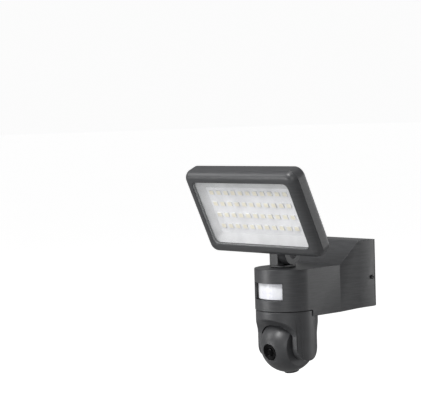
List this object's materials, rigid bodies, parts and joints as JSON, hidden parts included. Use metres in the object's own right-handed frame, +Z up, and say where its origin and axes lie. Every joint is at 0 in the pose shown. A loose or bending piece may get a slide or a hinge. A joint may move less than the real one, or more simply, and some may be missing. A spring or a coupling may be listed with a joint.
{
  "type": "floodlight security camera",
  "caption": "Wall floodlight with a wide LED lamp head on a swivel and tilt bracket, a motion sensor and a pan and tilt ball camera in a fork under the arm.",
  "frame": {"origin": "centre of the wall plate's back face, on the wall", "axes": "+Y into the wall, -Y out to the front, +Z up, +X to the right of somebody facing the object"},
  "size_m": [0.1828, 0.1859, 0.2474],
  "materials": {
    "anthracite_coat": "anthracite powder coat, semi-matt, very fine texture",
    "anthracite_plastic": "anthracite moulded plastic, satin",
    "black_plastic": "black moulded plastic",
    "black_rubber": "matt black seal rubber",
    "dark_lens": "dark polished camera window",
    "clear_glass": "clear toughened glass",
    "sensor_lens": "milky white sensor lens, satin",
    "white_reflector": "white reflector plastic",
    "white_board": "white solder mask with warm white emitters",
    "green_board": "green circuit board",
    "steel": "bright steel",
    "zinc_steel": "zinc plated steel",
    "heat_aluminium": "bare aluminium sheet",
    "nylon": "natural nylon",
    "grey_plastic": "light grey terminal plastic"
  },
  "bodies": {
    "housing": {"wall_plate": "zinc_steel", "wall_gasket": "black_rubber", "cable_grommet": "black_rubber", "terminal_block": "grey_plastic", "driver_board": "green_board", "side_screw_left": "steel", "side_screw_right": "steel", "housing_shell": "anthracite_coat", "main_board": "green_board", "speaker": "black_plastic", "antenna": "black_plastic", "pir_frame": "black_plastic", "pir_lens": "sensor_lens", "pir_sensor": "steel", "pir_board": "green_board", "bearing_plate": "black_plastic", "motor_bracket": "zinc_steel", "pan_motor": "steel", "swivel_seal": "black_rubber"},
    "pan_pinion": {"pan_pinion": "nylon"},
    "fork": {"camera_fork": "anthracite_plastic", "cheek_cover_left": "anthracite_plastic", "cheek_cover_right": "anthracite_plastic", "trunnion_left": "steel", "trunnion_right": "steel", "tilt_gear": "nylon", "pan_gear": "nylon", "pan_retaining_ring": "steel"},
    "ball": {"ball_front": "anthracite_plastic", "ball_rear": "anthracite_plastic", "lens_window": "dark_lens", "lens_barrel": "black_plastic", "camera_board": "green_board", "tilt_motor": "steel", "card_board": "green_board", "card_socket": "steel", "memory_card": "black_plastic", "reset_switch": "steel"},
    "tilt_pinion": {"tilt_pinion": "nylon"},
    "reset_button": {"reset_button": "black_plastic"},
    "service_cover": {"service_cover": "anthracite_plastic"},
    "bracket": {"lamp_bracket": "anthracite_coat", "swivel_stud": "steel", "swivel_washer": "zinc_steel", "swivel_nut": "zinc_steel", "tilt_bolt": "steel", "tilt_washer": "zinc_steel"},
    "lamp": {"lamp_housing": "anthracite_coat", "tilt_nut": "zinc_steel", "lamp_bezel": "anthracite_coat", "front_glass": "clear_glass", "glass_gasket": "black_rubber", "reflector_tray": "white_reflector", "led_board": "white_board", "heat_spreader": "heat_aluminium", "bezel_screw_1": "steel", "bezel_screw_2": "steel", "bezel_screw_3": "steel", "bezel_screw_4": "steel"}
  },
  "joints": [
    {"name": "head_swivel", "type": "hinge", "parent": "housing", "child": "bracket", "pos_m": [0, -0.1086, 0.0133], "axis": [0, 0, 1], "range_deg": [-50, 50]},
    {"name": "head_tilt", "type": "hinge", "parent": "bracket", "child": "lamp", "pos_m": [0.0062, -0.1086, 0.0296], "axis": [1, 0, 0], "range_deg": [-45, 22]},
    {"name": "camera_pan", "type": "hinge", "parent": "housing", "child": "fork", "pos_m": [0, -0.1086, -0.0353], "axis": [0, 0, 1], "range_deg": [-170, 170]},
    {"name": "pan_pinion_spin", "type": "hinge", "parent": "housing", "child": "pan_pinion", "pos_m": [0, -0.0786, -0.028], "axis": [0, 0, 1], "range_deg": [-512, 512]},
    {"name": "camera_tilt", "type": "hinge", "parent": "fork", "child": "ball", "pos_m": [0, -0.1086, -0.0783], "axis": [1, 0, 0], "range_deg": [-20, 70]},
    {"name": "tilt_pinion_spin", "type": "hinge", "parent": "ball", "child": "tilt_pinion", "pos_m": [0.0126, -0.0997, -0.06623], "axis": [1, 0, 0], "range_deg": [-41, 141]},
    {"name": "reset_press", "type": "slide", "parent": "ball", "child": "reset_button", "axis": [0, -0.184, 0.9829], "range_m": [0, 0.0006], "stiffness_N_per_m": 400, "springref_m": -0.0005},
    {"name": "cover_turn", "type": "hinge", "parent": "ball", "child": "service_cover", "pos_m": [0, -0.1086, -0.0783], "axis": [0, -0.184, 0.9829], "range_deg": [-90, 0]}
  ],
  "couplings": [
    {"joint": "pan_pinion_spin", "follows": "camera_pan", "ratio": -3},
    {"joint": "tilt_pinion_spin", "follows": "camera_tilt", "ratio": 2}
  ]
}
